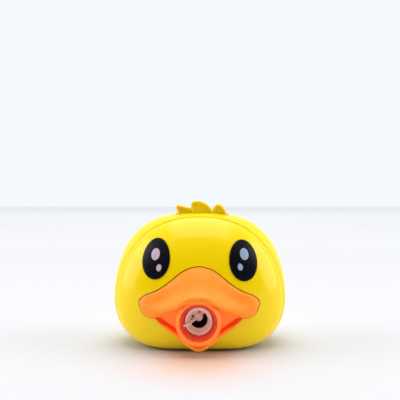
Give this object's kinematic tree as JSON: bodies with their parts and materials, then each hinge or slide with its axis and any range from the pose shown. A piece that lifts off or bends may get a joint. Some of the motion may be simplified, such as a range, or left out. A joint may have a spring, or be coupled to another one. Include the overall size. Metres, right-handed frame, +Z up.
{
  "type": "bubble machine",
  "caption": "Battery bubble machine shaped as a rounded duck head, with an air nozzle and a turning wiper in its open bill.",
  "frame": {"origin": "on the flat base, under the middle of the head's width", "axes": "+Z up, the face looks along -Y, +X to the right seen from the front"},
  "size_m": [0.1246, 0.0982, 0.103],
  "materials": {
    "yellow_shell": "glossy moulded",
    "orange_bill": "satin moulded",
    "mouth_orange": "satin moulded",
    "eye_black": "glossy print",
    "clear_nozzle": "translucent moulded",
    "clear_bottle": "translucent blown",
    "white_plastic": "moulded",
    "grey_plastic": "moulded",
    "steel": "plated",
    "rubber_seal": "moulded",
    "silicone_tube": "translucent",
    "cell_jacket": "printed sleeve",
    "board_green": "solder mask"
  },
  "bodies": {
    "casing": {"front_shell": "yellow_shell", "rear_shell": "yellow_shell", "upper_bill": "orange_bill", "lower_bill": "orange_bill", "mouth_panel": "mouth_orange", "eye_left": "eye_black", "eye_right": "eye_black", "film_ring": "clear_nozzle", "drip_cup": "clear_nozzle", "dip_tube": "clear_bottle", "motor_end_cap": "white_plastic", "pump_track": "white_plastic", "bottle_bay": "white_plastic", "button_switch": "white_plastic", "gearbox_front_plate": "grey_plastic", "gearbox_rear_plate": "grey_plastic", "fan_housing": "grey_plastic", "air_duct": "grey_plastic", "battery_box": "grey_plastic", "compound_gear_pin": "steel", "motor": "steel", "button_spring": "steel", "contact_plate_1": "steel", "contact_plate_2": "steel", "contact_plate_3": "steel", "contact_spring_1": "steel", "contact_spring_2": "steel", "contact_spring_3": "steel", "shell_screw_1": "steel", "shell_screw_2": "steel", "shell_screw_3": "steel", "shell_screw_4": "steel", "bottle_gasket": "rubber_seal", "feed_tube": "silicone_tube", "return_tube": "silicone_tube", "battery_1": "cell_jacket", "battery_2": "cell_jacket", "battery_3": "cell_jacket", "circuit_board": "board_green"},
    "crest": {"crest_button": "yellow_shell"},
    "wiper_drive": {"wiper": "clear_nozzle", "wiper_shaft": "steel", "wiper_gear": "white_plastic"},
    "pump_drive": {"pump_gear": "white_plastic", "pump_shaft": "steel", "pump_rotor": "grey_plastic"},
    "roller_1": {"pump_roller_1": "steel"},
    "roller_2": {"pump_roller_2": "steel"},
    "roller_3": {"pump_roller_3": "steel"},
    "compound": {"compound_gear": "white_plastic"},
    "motor_rotor": {"motor_shaft": "steel", "motor_pinion": "steel", "fan_impeller": "white_plastic"},
    "door": {"battery_door": "yellow_shell", "door_screw": "steel"},
    "bottle_unit": {"bottle": "clear_bottle"}
  },
  "joints": [
    {"name": "pump_spin", "type": "hinge", "parent": "casing", "child": "pump_drive", "pos_m": [0.0076, 0, 0.03636], "axis": [0, 1, 0], "continuous": true},
    {"name": "compound_spin", "type": "hinge", "parent": "casing", "child": "compound", "pos_m": [0.01402, 0, 0.05102], "axis": [0, 1, 0], "continuous": true},
    {"name": "motor_spin", "type": "hinge", "parent": "casing", "child": "motor_rotor", "pos_m": [0.004, 0, 0.064], "axis": [0, 1, 0], "continuous": true},
    {"name": "wiper_spin", "type": "hinge", "parent": "casing", "child": "wiper_drive", "pos_m": [0, 0, 0.0232], "axis": [0, 1, 0], "continuous": true},
    {"name": "roller_1_spin", "type": "hinge", "parent": "pump_drive", "child": "roller_1", "pos_m": [0.0076, 0, 0.04336], "axis": [0, 1, 0], "continuous": true},
    {"name": "roller_2_spin", "type": "hinge", "parent": "pump_drive", "child": "roller_2", "pos_m": [0.00154, 0, 0.03286], "axis": [0, 1, 0], "continuous": true},
    {"name": "roller_3_spin", "type": "hinge", "parent": "pump_drive", "child": "roller_3", "pos_m": [0.01366, 0, 0.03286], "axis": [0, 1, 0], "continuous": true},
    {"name": "crest_press", "type": "slide", "parent": "casing", "child": "crest", "axis": [0, 0, -1], "range_m": [0, 0.0015], "stiffness_N_per_m": 600, "springref_m": -0.0008, "deforming": ["button_spring"]},
    {"name": "door_hinge", "type": "hinge", "parent": "casing", "child": "door", "pos_m": [0, 0.0375, 0.006], "axis": [-1, 0, 0], "range_deg": [0, 85]},
    {"name": "bottle_slide", "type": "slide", "parent": "casing", "child": "bottle_unit", "axis": [0, 0, -1], "range_m": [0, 0.055]}
  ],
  "couplings": [
    {"joint": "compound_spin", "follows": "pump_spin", "ratio": -3},
    {"joint": "motor_spin", "follows": "pump_spin", "ratio": 10.667},
    {"joint": "wiper_spin", "follows": "pump_spin", "ratio": -0.40741},
    {"joint": "roller_1_spin", "follows": "pump_spin", "ratio": -4.5},
    {"joint": "roller_2_spin", "follows": "pump_spin", "ratio": -4.5},
    {"joint": "roller_3_spin", "follows": "pump_spin", "ratio": -4.5}
  ]
}
